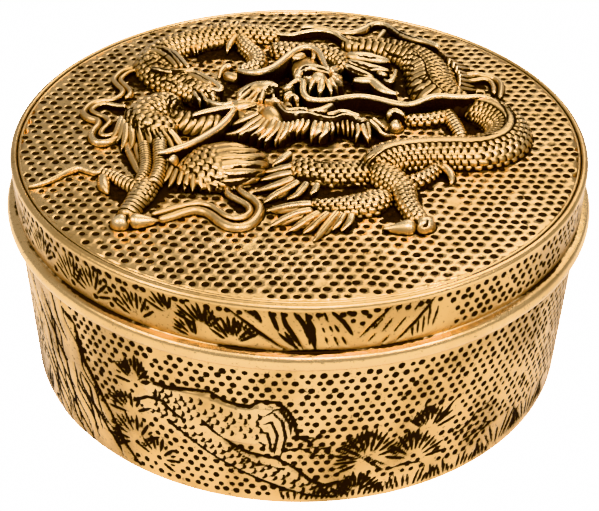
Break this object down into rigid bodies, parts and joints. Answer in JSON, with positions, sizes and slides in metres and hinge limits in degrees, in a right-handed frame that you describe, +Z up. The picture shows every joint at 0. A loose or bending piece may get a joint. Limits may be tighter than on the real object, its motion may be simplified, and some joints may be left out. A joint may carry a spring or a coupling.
{
  "type": "ritual box",
  "caption": "Round cast-brass ritual box with a lift-off lid, a coiled dragon in high relief on the lid and an engraved pine, branch and bird round the wall",
  "frame": {"origin": "centre of the flat underside, on the table", "axes": "+Z up through the lid, -Y toward the side that the picture shows, +X to the right in the picture"},
  "size_m": [0.12, 0.12, 0.0536],
  "materials": {
    "body_brass": "aged satin with dark patina in the recesses",
    "lid_brass": "aged satin, rubbed bright on the high places, dark patina in the recesses"
  },
  "bodies": {
    "root": {"box_body": "body_brass", "lid": "lid_brass"}
  },
  "joints": []
}
